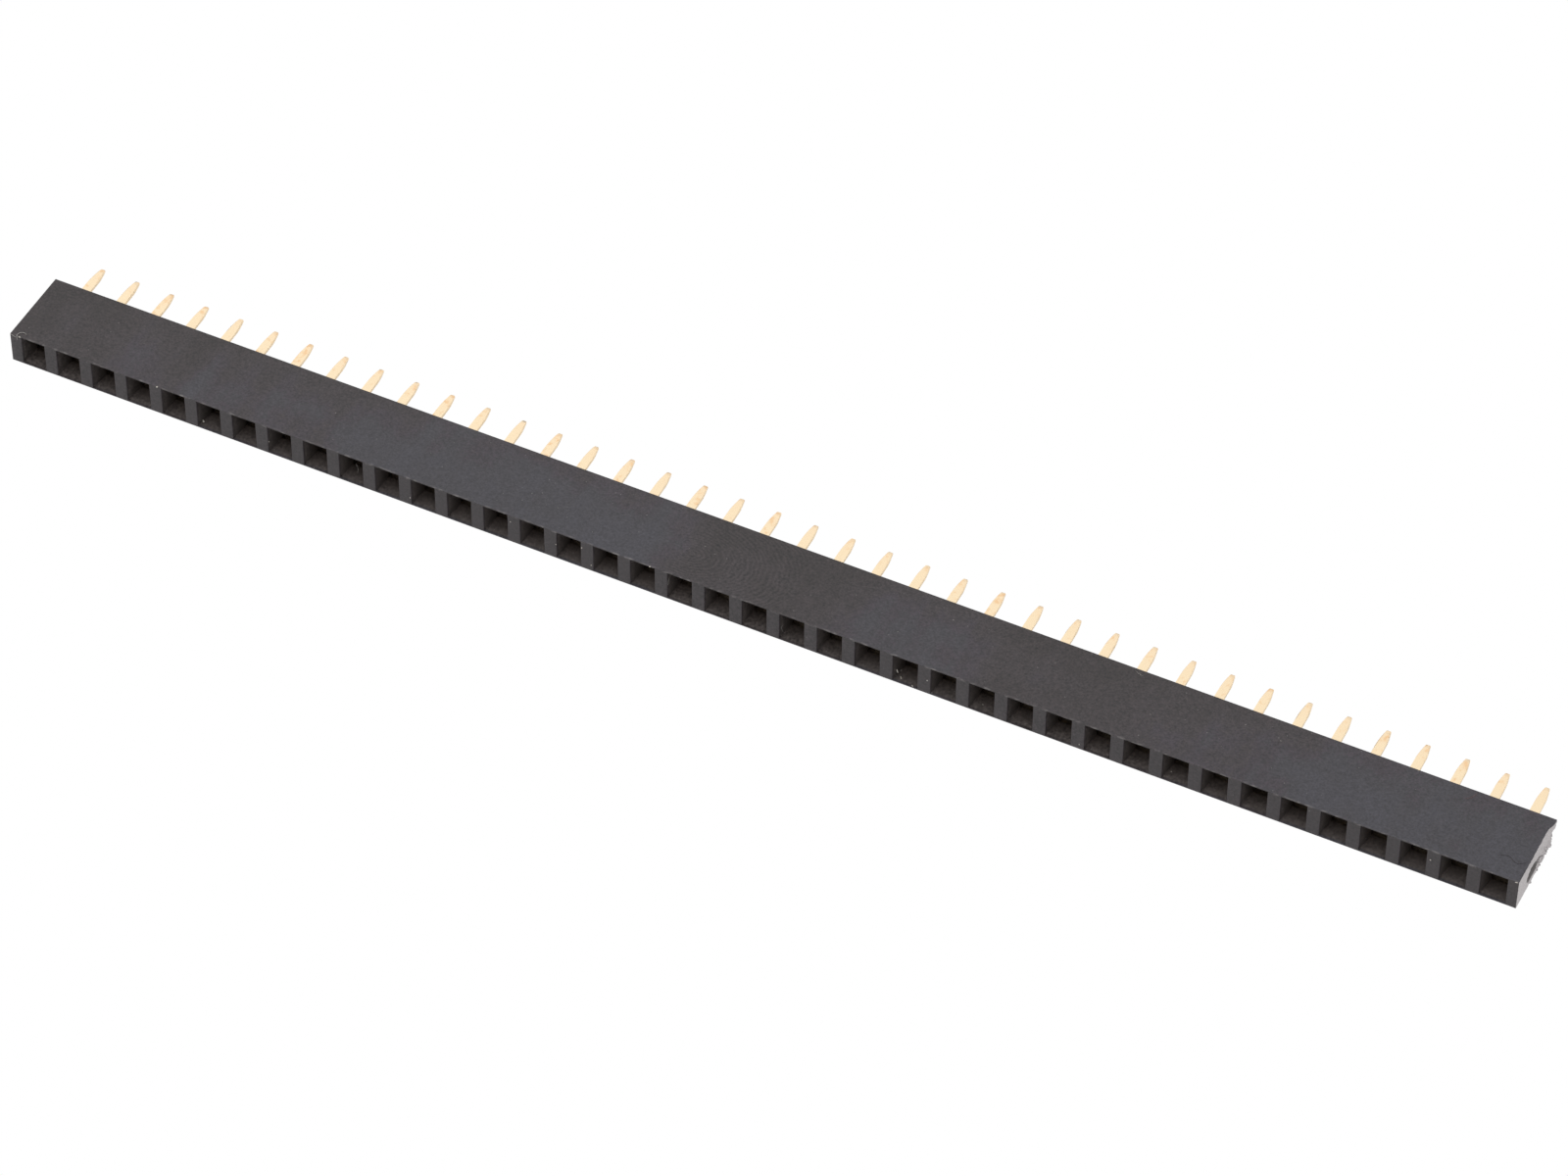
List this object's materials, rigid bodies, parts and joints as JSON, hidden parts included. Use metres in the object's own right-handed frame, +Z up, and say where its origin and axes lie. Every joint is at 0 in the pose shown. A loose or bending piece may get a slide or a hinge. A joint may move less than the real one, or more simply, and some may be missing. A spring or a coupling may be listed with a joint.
{
  "type": "female pin header strip",
  "caption": "Straight row of tapered pin sockets in a slim black moulded housing, with flat gold-plated solder tails along the opposite edge.",
  "frame": {"origin": "middle of the box around the whole part, on the plane that its broad side rests on", "axes": "+X along the row from the moulded end to the snapped end, -Y out of the mating face with the sockets, +Y out along the solder tails, +Z up from the broad side that it lies on"},
  "size_m": [0.1024, 0.0086, 0.0023],
  "materials": {
    "housing_plastic": "satin black glass-filled moulding, faintly speckled",
    "contact_gold": "thin gold plating on stamped bronze strip, satin"
  },
  "bodies": {
    "root": {"housing": "housing_plastic", "contact_01": "contact_gold", "contact_02": "contact_gold", "contact_03": "contact_gold", "contact_04": "contact_gold", "contact_05": "contact_gold", "contact_06": "contact_gold", "contact_07": "contact_gold", "contact_08": "contact_gold", "contact_09": "contact_gold", "contact_10": "contact_gold", "contact_11": "contact_gold", "contact_12": "contact_gold", "contact_13": "contact_gold", "contact_14": "contact_gold", "contact_15": "contact_gold", "contact_16": "contact_gold", "contact_17": "contact_gold", "contact_18": "contact_gold", "contact_19": "contact_gold", "contact_20": "contact_gold", "contact_21": "contact_gold", "contact_22": "contact_gold", "contact_23": "contact_gold", "contact_24": "contact_gold", "contact_25": "contact_gold", "contact_26": "contact_gold", "contact_27": "contact_gold", "contact_28": "contact_gold", "contact_29": "contact_gold", "contact_30": "contact_gold", "contact_31": "contact_gold", "contact_32": "contact_gold", "contact_33": "contact_gold", "contact_34": "contact_gold", "contact_35": "contact_gold", "contact_36": "contact_gold", "contact_37": "contact_gold", "contact_38": "contact_gold", "contact_39": "contact_gold", "contact_40": "contact_gold"}
  },
  "joints": []
}
